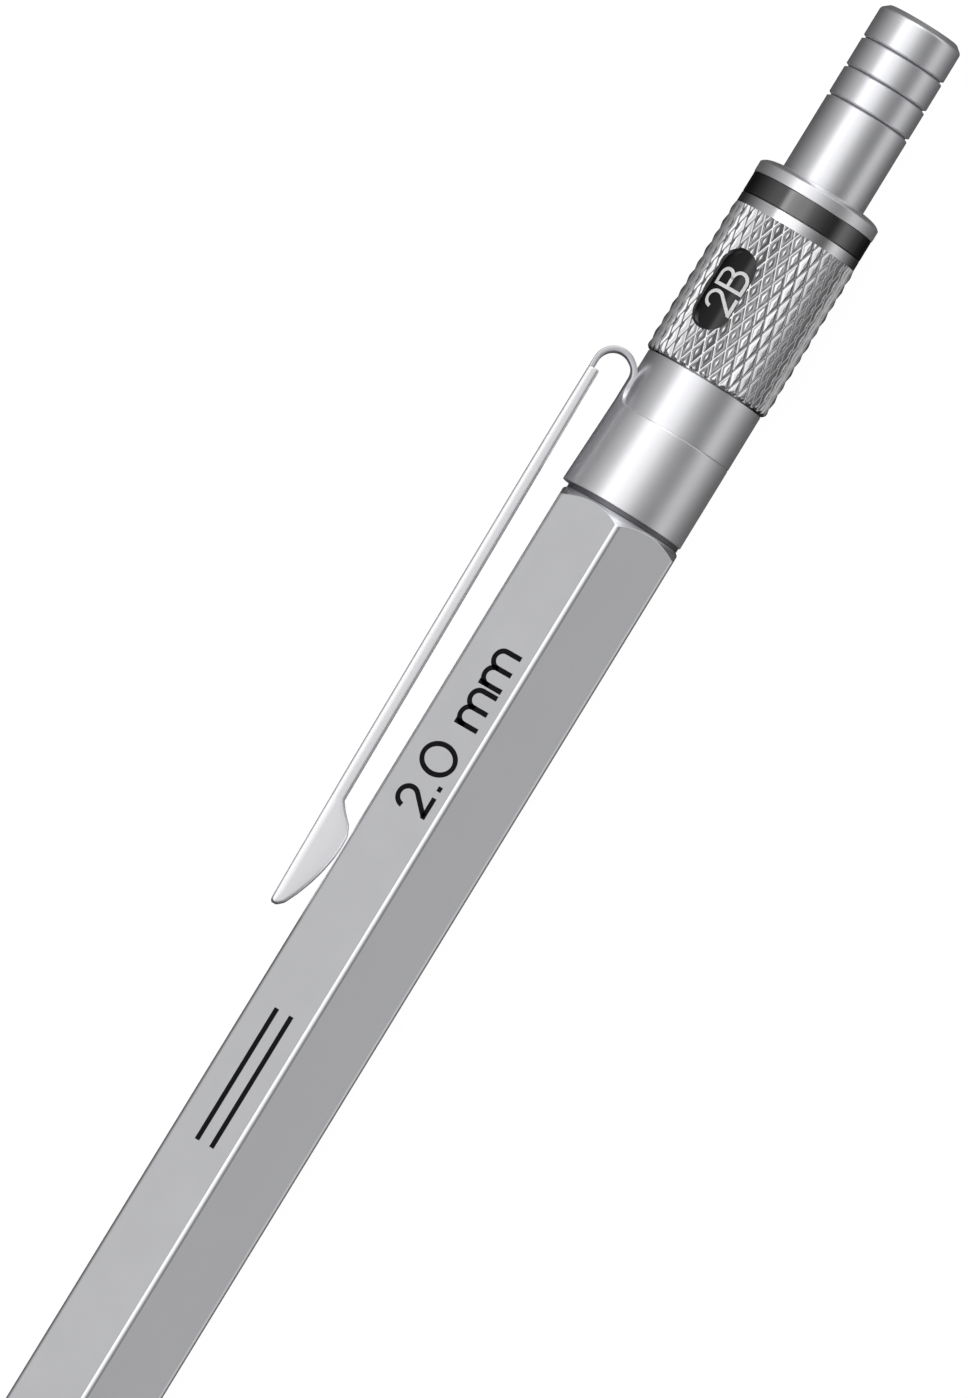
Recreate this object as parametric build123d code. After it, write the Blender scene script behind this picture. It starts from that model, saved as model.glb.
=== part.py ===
from build123d import *
import math
import os

# A 2 mm clutch pencil with a hexagonal metal barrel, lying on one flat of its barrel.
# Millimetres. The pencil's axis runs along +X, from the lead point to the push cap.
# u is the distance along the axis from the lead point, r is the radius about the axis.
# Angles about the axis are counted from +Y towards +Z.
# The origin is the middle of the bounding box's lower face, so z = 0 is the surface it lies on.

# ---------------------------------------------------------------- driving dimensions
LENGTH = 146.0            # lead point to push cap
ACROSS_FLATS = 8.0        # hexagonal barrel
HEX_CORNER_ROUND = 0.40
CLIP_ANGLE = 30.0         # the clip stands on the flat that faces this way
WINDOW_ANGLE = 90.0       # the indicator window faces straight up

LEAD_R = 1.0
LEAD_END_U = 122.0
LEAD_POINT_LEN = 3.2

SLEEVE_U0, SLEEVE_U1 = 2.0, 10.0
SLEEVE_R, SLEEVE_BORE_R = 1.45, 1.06
SLEEVE_TAIL_R = 1.65      # shouldered tail, so that the sleeve can't be pushed out of the nose

NOSE_U0, NOSE_RIM_U, NOSE_END_U = 5.5, 17.0, 24.0
NOSE_SPIGOT_R = 3.4
GRIP_U0, GRIP_U1 = 18.0, 44.0
KNURL_R = 4.19            # crest of the knurls, front and rear
BARREL_U0, BARREL_U1 = 44.0, 111.13
BARREL_END_R = 3.84       # small end of the turned chamfers on the hexagon
BARREL_BORE_R = 3.3
REAR_R = 3.93             # smooth rear cylinder

BAND_U0, BAND_U1 = 111.43, 116.97
BAND_SEAT_R = 3.60
NECK_HALF_W = 1.2
STRIP_T = 0.34
BEND_RHO, BEND_U, BEND_R = 5.14, 118.60, 1.20   # centre and centreline radius of the clip's bend
ARM_W = 2.8               # width of the clip's channel
ARM_TOP_U = 118.0

SLEEVE2_U0, SLEEVE2_U1 = 120.80, 131.80   # knurled window sleeve
KNURL_TOP_U = 131.12
WINDOW_U, WINDOW_LEN, WINDOW_W = 125.98, 5.46, 2.6
WINDOW_SLEEVE_BORE_R = 3.70
DRUM_R = 3.67
CORE_R = 3.30
RING_U0, RING_U1, RING_R = 131.83, 133.21, 4.10
COLLAR_R, COLLAR_RIM_U, COLLAR_TOP_U = 4.136, 133.93, 134.33

CAP_R, CAP_U0 = 2.80, 128.0
CAP_BORE_R, CAP_BORE_TOP = 2.43, 143.6
GROOVES_U = (143.55, 141.55, 139.55)
GROOVE_W, GROOVE_D = 0.32, 0.18
GUIDE_R = 2.87            # bore that guides the push cap

CHUCK_U0 = 17.5           # front face of the closed jaws
HINGE_U = 33.0            # root of the jaws' spring fingers
JAW_SLIT = 0.25

# ---------------------------------------------------------------- helpers


def turned(points):
    """A solid of revolution about X from a closed outline of (u, r) points."""
    face = make_face(Polyline(*[(p[0], p[1]) for p in points], close=True))
    return revolve(face, axis=Axis.X, revolution_arc=360)


def tube(u0, u1, ro, ri, c0=0.0, c1=0.0):
    """A tube with outer chamfers c0 at u0 and c1 at u1."""
    pts = [(u0, ri), (u0, ro - c0)]
    if c0:
        pts.append((u0 + c0, ro))
    if c1:
        pts.append((u1 - c1, ro))
    pts += [(u1, ro - c1), (u1, ri)]
    return turned(pts)


def turn(shape, degrees):
    """Turns a shape about the pencil's axis."""
    return shape.rotate(Axis.X, degrees)


def side_profile(points, width):
    """A plate standing on the clip's side of the axis: outline in (u, rho), centred, width across."""
    face = make_face(Polyline(*points, close=True))
    plate = extrude(face, amount=width / 2, both=True)      # outline in X-Y, thick in Z
    return plate.rotate(Axis.X, 90)                          # rho now points along +Z


parts = {}

# ---------------------------------------------------------------- lead and front end

lead = turned([(0, 0), (0, 0.18), (LEAD_POINT_LEN, LEAD_R), (LEAD_END_U, LEAD_R), (LEAD_END_U, 0)])
parts["lead"] = lead

parts["lead_sleeve"] = turned([
    (SLEEVE_U0, SLEEVE_BORE_R), (SLEEVE_U0, SLEEVE_R - 0.12), (SLEEVE_U0 + 0.12, SLEEVE_R),
    (NOSE_U0, SLEEVE_R), (NOSE_U0, SLEEVE_TAIL_R), (SLEEVE_U1, SLEEVE_TAIL_R), (SLEEVE_U1, SLEEVE_BORE_R)])

parts["nose_cone"] = turned([
    (NOSE_U0, SLEEVE_TAIL_R), (NOSE_U0, 1.90), (NOSE_U0 + 0.25, 2.08), (16.6, 3.72),
    (NOSE_RIM_U - 0.12, 3.82), (NOSE_RIM_U, 3.95), (GRIP_U0, 3.95), (GRIP_U0, 3.10),
    (18.6, 3.10), (18.9, NOSE_SPIGOT_R), (NOSE_END_U - 0.3, NOSE_SPIGOT_R), (NOSE_END_U, 3.15),
    (NOSE_END_U, 2.85), (16.8, 2.85), (16.8, 2.65), (12.6, 2.65), (12.6, 2.0),
    (SLEEVE_U1, 2.0), (SLEEVE_U1, SLEEVE_TAIL_R)])

parts["lead_retainer"] = turned([
    (10.0, 1.40), (10.0, 2.0), (12.5, 2.0), (12.5, 1.25), (12.1, 1.03), (10.9, 1.03), (10.5, 1.40)])

# ---------------------------------------------------------------- chuck


def jaw_outer(u):
    return 2.15 - 0.10 * (u - CHUCK_U0)


jaw_ring = turned([
    (CHUCK_U0, 1.20), (CHUCK_U0, jaw_outer(CHUCK_U0) - 0.12), (CHUCK_U0 + 0.12, jaw_outer(CHUCK_U0 + 0.12)),
    (21.5, jaw_outer(21.5)), (21.7, 1.60), (HINGE_U, 1.60), (HINGE_U, 1.25), (20.9, 1.25),
    (20.6, 1.02), (17.7, 1.02)])
half = 60.0
reach = 4.0
for i, facing in enumerate((90.0, 210.0, 330.0)):
    wedge = make_face(Polyline(
        (0, 0), (reach * math.cos(math.radians(90 - half)), reach * math.sin(math.radians(90 - half))),
        (0, 2 * reach), (reach * math.cos(math.radians(90 + half)), reach * math.sin(math.radians(90 + half))),
        close=True))
    wedge = extrude(Plane.YZ.offset(10) * wedge, amount=30)
    wedge = wedge.moved(Location((0, 0, JAW_SLIT / 2 / math.sin(math.radians(half)))))
    parts[f"jaw_{i + 1}"] = turn(jaw_ring & wedge, facing - 90)

parts["chuck_base"] = turned([
    (HINGE_U + 0.06, 1.25), (HINGE_U + 0.06, 1.65), (40.0, 1.65), (40.0, 1.25)])

parts["clutch_ring"] = turned([
    (18.0, jaw_outer(18.0) + 0.03), (18.0, 2.60), (18.15, 2.75), (21.05, 2.75), (21.2, 2.60),
    (21.2, jaw_outer(21.2) + 0.03)])

parts["mechanism_sleeve"] = turned([
    (21.35, 1.95), (21.35, 2.83), (24.0, 2.83), (24.0, 3.36), (25.4, 3.36), (25.4, 3.0), (46.0, 3.0),
    (46.0, 2.6), (24.4, 2.6), (24.4, 1.95)])

SPRING_U0, SPRING_U1, SPRING_R, WIRE_R, SPRING_PITCH = 24.62, 35.70, 2.25, 0.18, 1.583
coil = Helix(pitch=SPRING_PITCH, height=SPRING_U1 - SPRING_U0, radius=SPRING_R,
             center=(SPRING_U0, 0, 0), direction=(1, 0, 0))
parts["return_spring"] = sweep(
    Plane(origin=coil @ 0, z_dir=coil % 0) * Circle(WIRE_R), path=coil, is_frenet=True)

parts["tube_connector"] = turned([
    (36.0, 1.65), (36.0, 2.5), (37.4, 2.5), (37.4, 2.25), (46.5, 2.25), (47.0, 2.05), (47.0, 1.9),
    (40.0, 1.9), (40.0, 1.65)])

parts["lead_tube"] = tube(40.05, 134.0, 1.9, 1.35)

# ---------------------------------------------------------------- grip and barrel

parts["front_grip"] = turned([
    (GRIP_U0, NOSE_SPIGOT_R), (GRIP_U0, 3.95), (18.24, KNURL_R), (40.6, KNURL_R), (40.84, 3.98),
    (41.2, 3.98), (41.4, 4.10), (42.9, 4.10), (43.1, 3.98), (43.4, 3.98), (43.5, 4.05), (43.88, 4.05),
    (GRIP_U1, 3.93), (GRIP_U1, NOSE_SPIGOT_R)])

parts["front_insert"] = turned([
    (36.5, 3.05), (36.5, 3.4), (GRIP_U1, 3.4), (GRIP_U1, BARREL_BORE_R), (54.0, BARREL_BORE_R), (54.0, 3.05)])

hexagon = RegularPolygon(radius=ACROSS_FLATS / 2, side_count=6, major_radius=False)
hexagon = fillet(hexagon.vertices(), HEX_CORNER_ROUND)
bar = extrude(Plane.YZ.offset(BARREL_U0) * hexagon, amount=BARREL_U1 - BARREL_U0)
envelope = turned([
    (BARREL_U0, BARREL_BORE_R), (BARREL_U0, BARREL_END_R), (BARREL_U0 + 0.806, 4.70), (BARREL_U1 - 0.806, 4.70),
    (BARREL_U1, BARREL_END_R), (BARREL_U1, BARREL_BORE_R)])
parts["hex_barrel"] = bar & envelope

# ---------------------------------------------------------------- rear end

insert = turned([
    (100.0, 2.1), (100.0, 3.1), (100.2, BARREL_BORE_R), (BARREL_U1, BARREL_BORE_R), (BARREL_U1, BARREL_END_R),
    (BAND_U0, BARREL_END_R), (BAND_U0, REAR_R), (120.72, REAR_R), (120.72, CORE_R), (121.6, CORE_R), (121.6, 3.08), (122.35, 3.08), (122.35, CORE_R),
    (130.9, CORE_R), (130.9, 3.12), (133.15, 3.12), (133.15, GUIDE_R), (123.4, GUIDE_R), (122.9, 2.37),
    (122.9, 2.1)])

# The clip's band is a tapered ring that leans a little out on the clip's side.
band_outer = loft([
    Plane.YZ.offset(BAND_U0) * Pos(0, 0.185) * Circle(4.115),
    Plane.YZ.offset(BAND_U1 + 1.9) * Pos(0, 0.060) * Circle(3.990)], ruled=True)
flare_r = 1.25
flare = make_face(
    Polyline((NECK_HALF_W, BAND_U1 + 1.9), (NECK_HALF_W, BAND_U1 + flare_r))
    + RadiusArc((NECK_HALF_W, BAND_U1 + flare_r), (NECK_HALF_W + flare_r, BAND_U1), flare_r)
    + Polyline((NECK_HALF_W + flare_r, BAND_U1), (NECK_HALF_W + flare_r, BAND_U1 - 1),
               (-NECK_HALF_W - flare_r, BAND_U1 - 1), (-NECK_HALF_W - flare_r, BAND_U1))
    + RadiusArc((-NECK_HALF_W - flare_r, BAND_U1), (-NECK_HALF_W, BAND_U1 + flare_r), flare_r)
    + Polyline((-NECK_HALF_W, BAND_U1 + flare_r), (-NECK_HALF_W, BAND_U1 + 1.9), (NECK_HALF_W, BAND_U1 + 1.9)))
flare = extrude(Plane(origin=(0, 0, 2.0), x_dir=(0, 1, 0), z_dir=(0, 0, -1)) * flare, amount=-4.0)
seat_ring = tube(BAND_U0, BAND_U1, 5.0, BAND_SEAT_R)
neck_ring = tube(BAND_U1 - 0.5, BAND_U1 + 1.9, 5.0, BAND_SEAT_R)
band_zone = seat_ring + (neck_ring & flare)
band = band_zone & band_outer
insert = insert - turn(band_zone, CLIP_ANGLE - 90)

# The strip: neck, half-round bend. It stops just past the top of the bend, where the arm begins to flex.
rho_in = BEND_RHO - BEND_R
strip_o, strip_i = BEND_R + STRIP_T / 2, BEND_R - STRIP_T / 2


def bend_point(radius, degrees):
    """A point of the bend: 180 is the neck side, 90 the top, 0 the arm side."""
    a = math.radians(degrees)
    return (BEND_U + radius * math.sin(a), BEND_RHO + radius * math.cos(a))


def bend_piece(a0, a1):
    n = 18
    angles = [a0 + (a1 - a0) * k / n for k in range(n + 1)]
    return [bend_point(strip_o, a) for a in angles] + [bend_point(strip_i, a) for a in reversed(angles)]


SPLIT_A, SPLIT_GAP = 92.0, 10.0
neck = side_profile([
    (BAND_U1 + 0.9, rho_in - STRIP_T / 2), (BAND_U1 + 0.9, rho_in + STRIP_T / 2)]
    + [bend_point(strip_i, a) for a in (180, 172, 164, 156, 148, 140, 132, 124, 116, 108, 100, SPLIT_A)]
    + [bend_point(strip_o, a) for a in (SPLIT_A, 100, 108, 116, 124, 132, 140, 148, 156, 164, 172, 180)],
    2 * NECK_HALF_W)
parts["clip_band"] = turn(band + neck, CLIP_ANGLE - 90)

neck_seat = side_profile([
    (BAND_U1 + 0.7, rho_in - STRIP_T / 2 - 0.03), (BAND_U1 + 0.7, 5.0), (120.0, 5.0),
    (120.0, rho_in - STRIP_T / 2 - 0.03)], 2 * NECK_HALF_W + 0.1)
insert = insert - turn(neck_seat, CLIP_ANGLE - 90)
parts["rear_insert"] = insert

# The arm: a channel folded towards the barrel that ends in a deeper leaf.
arm_outer = [(ARM_TOP_U, 6.51), (114.0, 6.51), (110.5, 6.495), (100.0, 6.39), (90.1, 6.27), (84.0, 6.15), (80.85, 6.08)]
leaf = [(80.62, 5.98), (80.62, 5.62), (80.98, 5.24), (81.88, 4.83), (82.91, 4.48), (83.81, 4.25),
        (84.83, 4.08), (85.55, 4.045), (86.21, 4.06), (86.60, 4.22), (86.95, 4.42), (87.11, 4.60), (87.47, 4.95),
        (88.0, 5.36), (90.1, 5.39), (110.5, 5.68), (117.85, 5.80), (ARM_TOP_U, 5.90)]
arm = side_profile(arm_outer + leaf, ARM_W)
channel = side_profile([(ARM_TOP_U + 1, 5.0), (ARM_TOP_U + 1, 6.51 - STRIP_T), (110.5, 6.495 - STRIP_T),
                        (100.0, 6.39 - STRIP_T), (90.1, 6.27 - STRIP_T), (84.0, 6.15 - STRIP_T),
                        (81.6, 5.75), (81.6, 3.0), (90.0, 3.0)], ARM_W - 2 * STRIP_T)
arm = arm - channel
arm_leg = side_profile(
    [(ARM_TOP_U - 0.6, 6.51 - STRIP_T), (ARM_TOP_U - 0.6, 6.51)]
    + [bend_point(strip_o, a) for a in (0, 8, 16, 24, 32, 40, 48, 56, 64, 72, SPLIT_A - SPLIT_GAP)]
    + [bend_point(strip_i, a) for a in (SPLIT_A - SPLIT_GAP, 72, 64, 56, 48, 40, 32, 24, 16, 8, 0)],
    2 * NECK_HALF_W)
parts["clip_arm"] = turn(arm + arm_leg, CLIP_ANGLE - 90)

parts["friction_ring"] = (Pos(121.97, 0, 0) * Rot(0, 90, 0) * Torus(3.38, 0.29))

parts["grade_drum"] = tube(122.6, 130.88, DRUM_R, CORE_R, 0.1, 0.1)

window_sleeve = turned([
    (SLEEVE2_U0, WINDOW_SLEEVE_BORE_R), (SLEEVE2_U0, KNURL_R - 0.2), (SLEEVE2_U0 + 0.2, KNURL_R),
    (KNURL_TOP_U - 0.05, KNURL_R), (KNURL_TOP_U + 0.05, 4.10), (SLEEVE2_U1, 4.10),
    (SLEEVE2_U1, WINDOW_SLEEVE_BORE_R)])
window = extrude(Plane.XY.offset(2.5) * Pos(WINDOW_U, 0) * SlotOverall(WINDOW_LEN, WINDOW_W), amount=3.0)
parts["window_sleeve"] = turn(window_sleeve - window, WINDOW_ANGLE - 90)

parts["black_ring"] = tube(RING_U0, RING_U1, RING_R, 3.5, 0.05, 0.05)

collar = make_face(
    Polyline((131.5, 3.12), (131.5, 3.5), (RING_U1, 3.5), (RING_U1, COLLAR_R - 0.05), (RING_U1 + 0.05, COLLAR_R),
             (COLLAR_RIM_U, COLLAR_R))
    + ThreePointArc((COLLAR_RIM_U, COLLAR_R), (134.20, 3.66), (COLLAR_TOP_U, GUIDE_R))
    + Polyline((COLLAR_TOP_U, GUIDE_R), (133.2, GUIDE_R), (133.2, 3.12), (131.5, 3.12)))
parts["top_collar"] = revolve(collar, axis=Axis.X, revolution_arc=360)

# ---------------------------------------------------------------- push cap and what it covers

parts["eraser_holder"] = turned([
    (129.0, 1.9), (129.0, 2.2), (129.2, 2.38), (139.0, 2.38), (139.0, 1.95), (134.0, 1.95), (134.0, 1.9)])
parts["eraser"] = turned([(134.05, 0), (134.05, 1.95), (141.3, 1.95), (141.6, 1.65), (141.6, 0)])

cap_outline = [(CAP_U0, CAP_BORE_R), (CAP_U0, CAP_R - 0.12), (CAP_U0 + 0.12, CAP_R)]
for g in sorted(GROOVES_U):
    cap_outline += [(g - GROOVE_W / 2, CAP_R), (g - 0.05, CAP_R - GROOVE_D), (g + 0.05, CAP_R - GROOVE_D),
                    (g + GROOVE_W / 2, CAP_R)]
cap_outline += [(LENGTH - 0.39, CAP_R), (LENGTH - 0.30, CAP_R - 0.06), (LENGTH - 0.08, CAP_R - 0.36),
                (LENGTH, CAP_R - 0.48), (LENGTH, 0), (CAP_BORE_TOP, 0), (CAP_BORE_TOP, CAP_BORE_R)]
parts["push_cap"] = turned(cap_outline)

# ---------------------------------------------------------------- place in the part's frame

# The knurls are the widest round parts, so the axis lies one crest radius above the surface.
# The clip makes the box wider on its own side, which moves the box's middle off the axis.
clip_far_y = 6.51 * math.cos(math.radians(CLIP_ANGLE)) + ARM_W / 2 * math.sin(math.radians(CLIP_ANGLE))
round_off = HEX_CORNER_ROUND / math.cos(math.radians(30)) - HEX_CORNER_ROUND
near_y = -(ACROSS_FLATS / 2 / math.cos(math.radians(30)) - round_off)
AXIS_Y = -(clip_far_y + near_y) / 2
AXIS_Z = KNURL_R
print("axis at y", round(AXIS_Y, 4), "z", AXIS_Z, "x shift", -LENGTH / 2)
print("spring length x section", math.pi * WIRE_R ** 2 * coil.length, "volume", parts["return_spring"].volume)

os.makedirs("parts", exist_ok=True)
shift = Location((-LENGTH / 2, AXIS_Y, AXIS_Z))
for name, shape in parts.items():
    placed = shape.moved(shift)
    solids = placed.solids()
    placed = solids[0] if len(solids) == 1 else Compound(children=list(solids))
    placed.label = name
    export_step(placed, os.path.join("parts", name + ".step"))
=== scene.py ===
import math

import bpy
import bmesh
import numpy as np
from mathutils import Matrix, Vector


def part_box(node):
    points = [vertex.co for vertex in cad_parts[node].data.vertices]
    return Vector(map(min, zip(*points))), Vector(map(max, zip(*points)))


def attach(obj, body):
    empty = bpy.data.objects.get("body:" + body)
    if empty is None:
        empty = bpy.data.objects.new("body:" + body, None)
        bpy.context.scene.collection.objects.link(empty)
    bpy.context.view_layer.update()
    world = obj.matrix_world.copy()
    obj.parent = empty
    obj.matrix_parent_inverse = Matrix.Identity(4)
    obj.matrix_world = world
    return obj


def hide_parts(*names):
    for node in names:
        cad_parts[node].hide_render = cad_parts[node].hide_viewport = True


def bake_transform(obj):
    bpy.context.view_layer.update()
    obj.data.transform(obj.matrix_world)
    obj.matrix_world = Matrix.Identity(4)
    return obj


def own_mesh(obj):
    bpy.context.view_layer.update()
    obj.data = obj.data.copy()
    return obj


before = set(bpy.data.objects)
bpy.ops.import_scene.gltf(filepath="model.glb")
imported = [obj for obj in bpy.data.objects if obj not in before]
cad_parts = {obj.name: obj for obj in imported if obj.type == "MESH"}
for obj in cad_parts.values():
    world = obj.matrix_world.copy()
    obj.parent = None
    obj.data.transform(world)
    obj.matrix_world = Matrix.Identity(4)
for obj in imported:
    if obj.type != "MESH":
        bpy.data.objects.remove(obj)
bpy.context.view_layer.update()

# ------------------------------------------------------------------ the frame's reference dimensions
# The pencil's axis runs along +X. u is counted from the lead point in mm, r about the axis,
# and angles about the axis from +Y towards +Z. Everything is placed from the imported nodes' own boxes.
lo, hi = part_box("push_cap")
AXIS_Y = (lo.y + hi.y) / 2 * 1000
AXIS_Z = (lo.z + hi.z) / 2 * 1000
X_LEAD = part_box("lead")[0].x * 1000                 # x of the lead point


def u_of(node, end):
    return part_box(node)[end].x * 1000 - X_LEAD


LENGTH = u_of("push_cap", 1)
BARREL_U0, BARREL_U1 = u_of("hex_barrel", 0), u_of("hex_barrel", 1)
CLIP_DEG, WINDOW_DEG = 30.0, 90.0


def place(u, y, z):
    """Row-frame metres from axial mm."""
    return np.stack([(np.asarray(u) + X_LEAD) / 1000, (np.asarray(y) + AXIS_Y) / 1000, (np.asarray(z) + AXIS_Z) / 1000], -1)


# ------------------------------------------------------------------ mesh helpers

def make_object(name, verts, faces, material, normals=None, smooth=True):
    me = bpy.data.meshes.new(name)
    me.from_pydata([tuple(v) for v in verts], [], [tuple(int(i) for i in f) for f in faces])
    me.validate()
    me.update()
    if smooth:
        me.shade_smooth()
    if normals is not None:
        me.normals_split_custom_set_from_vertices([tuple(n) for n in normals])
    ob = bpy.data.objects.new(name, me)
    bpy.context.scene.collection.objects.link(ob)
    if material is not None:
        me.materials.append(material)
    return ob


def rounded(points, default=0.03, seg=5):
    """A closed outline of (u, r[, radius]) points, every corner rounded. Returns points and outward normals.
    The outline runs so that its inside is on the left."""
    pts = [np.array(p[:2], float) for p in points]
    rad = [p[2] if len(p) > 2 else default for p in points]
    n = len(pts)
    out, nor = [], []
    for i in range(n):
        p, a, b = pts[i], pts[i - 1], pts[(i + 1) % n]
        d0, d1 = p - a, b - p
        l0, l1 = np.linalg.norm(d0), np.linalg.norm(d1)
        d0, d1 = d0 / l0, d1 / l1
        n0, n1 = np.array([d0[1], -d0[0]]), np.array([d1[1], -d1[0]])
        turn = math.atan2(d0[0] * d1[1] - d0[1] * d1[0], float(d0 @ d1))
        if abs(turn) < 1e-4:
            out.append(p); nor.append(n0)
            continue
        cut = abs(math.tan(turn / 2)) * rad[i]
        cut = min(cut, 0.45 * l0, 0.45 * l1)
        r = cut / abs(math.tan(turn / 2))
        start = p - d0 * cut
        side = 1 if turn > 0 else -1
        centre = start - n0 * r * side
        k = max(2, int(math.ceil(seg * abs(turn) / (math.pi / 2))) + 1)
        for j in range(k + 1):
            t = turn * j / k
            c, s = math.cos(t), math.sin(t)
            m = np.array([n0[0] * c - n0[1] * s, n0[0] * s + n0[1] * c])
            out.append(centre + m * r * side)
            nor.append(m)
    return np.array(out), np.array(nor)


def lathe(name, points, material, seg=192, default=0.03, arc=5):
    """A closed turned piece. points: (u, r[, corner radius]) with the inside of the metal on the left."""
    p, m = rounded(points, default, arc)
    a = np.linspace(0, 2 * math.pi, seg, endpoint=False)
    ca, sa = np.cos(a), np.sin(a)
    k = len(p)
    on_axis = p[:, 1] < 1e-6
    verts, normals, index = [], [], np.zeros((k, seg), int)
    for i in range(k):
        if on_axis[i]:
            index[i, :] = len(verts)
            verts.append(place(p[i, 0], 0, 0))
            normals.append((math.copysign(1, m[i, 0] if abs(m[i, 0]) > 1e-6 else 1), 0, 0))
        else:
            index[i, :] = np.arange(seg) + len(verts)
            verts.extend(place(np.full(seg, p[i, 0]), p[i, 1] * ca, p[i, 1] * sa))
            normals.extend(np.stack([np.full(seg, m[i, 0]), m[i, 1] * ca, m[i, 1] * sa], -1))
    faces = []
    for i in range(k):
        j = (i + 1) % k
        if on_axis[i] and on_axis[j]:
            continue
        for s in range(seg):
            t = (s + 1) % seg
            q = [index[i, s], index[j, s], index[j, t], index[i, t]]
            f = []
            for v in q:
                if v not in f:
                    f.append(v)
            if len(f) > 2:
                faces.append(f)
    return make_object(name, verts, faces, material, normals)


def lathe_solid(name, points, material, **kw):
    """As lathe, for a piece with a solid core: the outline starts and ends on the axis."""
    eps = 1e-9
    return lathe(name, [(points[0][0], eps, 1e-6)] + list(points[1:-1]) + [(points[-1][0], eps, 1e-6)], material, **kw)


# ------------------------------------------------------------------ materials

def new_material(name):
    mat = bpy.data.materials.new(name)
    mat.use_nodes = True
    nt = mat.node_tree
    bsdf = nt.nodes["Principled BSDF"]
    coord = nt.nodes.new("ShaderNodeTexCoord")
    return mat, nt, bsdf, coord.outputs["Object"]


def math_node(nt, op, a, b=None, c=None):
    n = nt.nodes.new("ShaderNodeMath")
    n.operation = op
    for i, v in enumerate((a, b, c)):
        if v is None:
            continue
        if isinstance(v, (int, float)):
            n.inputs[i].default_value = v
        else:
            nt.links.new(v, n.inputs[i])
    return n.outputs[0]


def noise(nt, vector, scale, detail=3.0, rough=0.55, stretch=(1, 1, 1)):
    mp = nt.nodes.new("ShaderNodeMapping")
    mp.inputs["Scale"].default_value = stretch
    nt.links.new(vector, mp.inputs["Vector"])
    n = nt.nodes.new("ShaderNodeTexNoise")
    n.inputs["Scale"].default_value = scale
    n.inputs["Detail"].default_value = detail
    n.inputs["Roughness"].default_value = rough
    nt.links.new(mp.outputs["Vector"], n.inputs["Vector"])
    return n.outputs["Fac"]


def ramp(nt, fac, stops, interpolation="LINEAR"):
    n = nt.nodes.new("ShaderNodeValToRGB")
    n.color_ramp.interpolation = interpolation
    e = n.color_ramp.elements
    while len(e) < len(stops):
        e.new(0.5)
    for el, (pos, col) in zip(e, stops):
        el.position = pos
        el.color = (*col, 1) if len(col) == 3 else col
    nt.links.new(fac, n.inputs["Fac"])
    return n.outputs["Color"]


def map_range(nt, value, a, b, c, d):
    n = nt.nodes.new("ShaderNodeMapRange")
    for i, v in zip((1, 2, 3, 4), (a, b, c, d)):
        n.inputs[i].default_value = v
    nt.links.new(value, n.inputs[0])
    return n.outputs[0]


def bump(nt, height, strength, distance, normal=None):
    n = nt.nodes.new("ShaderNodeBump")
    n.inputs["Strength"].default_value = strength
    n.inputs["Distance"].default_value = distance
    nt.links.new(height, n.inputs["Height"])
    if normal is not None:
        nt.links.new(normal, n.inputs["Normal"])
    return n.outputs["Normal"]


def satin_metal(name, tone, rough=0.22, spread=0.02, turned=0.0, grain=0.0, tarnish=0.0, metallic=0.88, painted_flank_shade=0.0):
    """Satin metal: slight cloudy tone, roughness that varies, fine turning rings or blasted grain."""
    mat, nt, bsdf, obj = new_material(name)
    cloud = noise(nt, obj, 160, 4)
    fine = noise(nt, obj, 2600, 2)
    mix = math_node(nt, "ADD", math_node(nt, "MULTIPLY", cloud, 0.7), math_node(nt, "MULTIPLY", fine, 0.3))
    dark = tuple(c * (1 - spread - tarnish) for c in tone)
    light = tuple(min(1.0, c * (1 + spread)) for c in tone)
    colour = ramp(nt, mix, [(0.32, dark), (0.68, light)])
    if painted_flank_shade:                                       # the knurl's flanks get painted shade: the base colour is darkened on the groove walls
        at = nt.nodes.new("ShaderNodeAttribute")
        at.attribute_name = "painted_flank_shade"
        keep = map_range(nt, at.outputs["Fac"], 0.0, 1.0, 1.0, 1.0 - painted_flank_shade)
        sc = nt.nodes.new("ShaderNodeVectorMath"); sc.operation = "SCALE"
        nt.links.new(colour, sc.inputs[0]); nt.links.new(keep, sc.inputs["Scale"])
        colour = sc.outputs[0]
    nt.links.new(colour, bsdf.inputs["Base Color"])
    bsdf.inputs["Metallic"].default_value = metallic
    smudge = noise(nt, obj, 420, 3)
    nt.links.new(map_range(nt, smudge, 0.3, 0.7, rough - 0.018, rough + 0.018), bsdf.inputs["Roughness"])
    normal = None
    if turned:
        rings = noise(nt, obj, 1, 2, stretch=(16000, 60, 60))
        normal = bump(nt, rings, turned, 0.000004, normal)
    if grain:
        blast = noise(nt, obj, 9000, 2)
        normal = bump(nt, blast, grain, 0.000004, normal)
    if normal is not None:
        nt.links.new(normal, bsdf.inputs["Normal"])
    return mat


def gloss_black(name, tone=0.0008, rough=0.05, ior=2.5):
    mat, nt, bsdf, obj = new_material(name)
    cloud = noise(nt, obj, 500, 3)
    nt.links.new(ramp(nt, cloud, [(0.3, (tone * 0.8,) * 3), (0.7, (tone * 1.3, tone * 1.3, tone * 1.35))]), bsdf.inputs["Base Color"])
    nt.links.new(map_range(nt, noise(nt, obj, 1800, 3), 0.3, 0.7, rough * 0.8, rough * 1.2), bsdf.inputs["Roughness"])
    bsdf.inputs["IOR"].default_value = ior
    nt.links.new(bump(nt, noise(nt, obj, 900, 2), 0.06, 0.00001), bsdf.inputs["Normal"])
    return mat


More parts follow.
